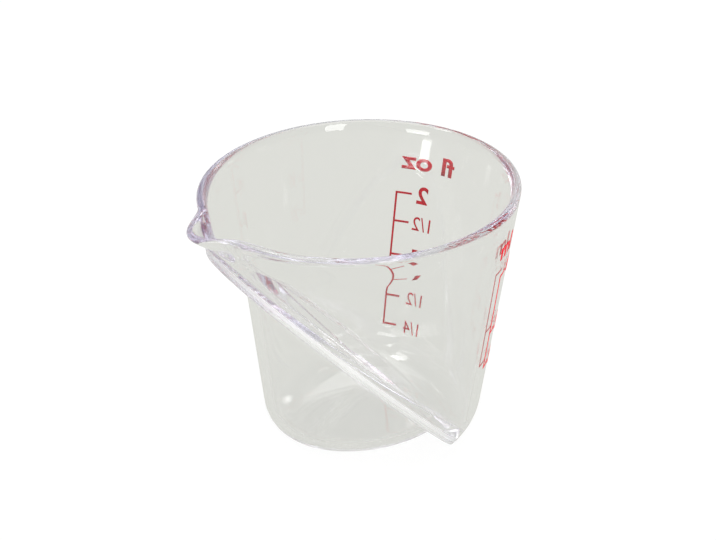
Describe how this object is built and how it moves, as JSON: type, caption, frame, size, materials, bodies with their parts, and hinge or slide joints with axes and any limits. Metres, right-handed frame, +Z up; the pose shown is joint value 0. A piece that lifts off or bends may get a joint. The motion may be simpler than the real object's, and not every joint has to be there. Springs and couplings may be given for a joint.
{
  "type": "measuring cup",
  "caption": "Small clear plastic measuring cup with a pouring spout, a slanted inner ledge read from above, and a narrower well below it.",
  "frame": {"origin": "on the underside of the well, on the vertical line through the centre of the rim's oval", "axes": "-X towards the spout, +X towards the closed back, +Z up towards the rim"},
  "size_m": [0.0691, 0.0608, 0.054],
  "materials": {
    "clear_plastic": "polished clear moulded plastic with a faint violet-grey tint in its thick edges"
  },
  "bodies": {
    "root": {"cup_body": "clear_plastic"}
  },
  "joints": []
}
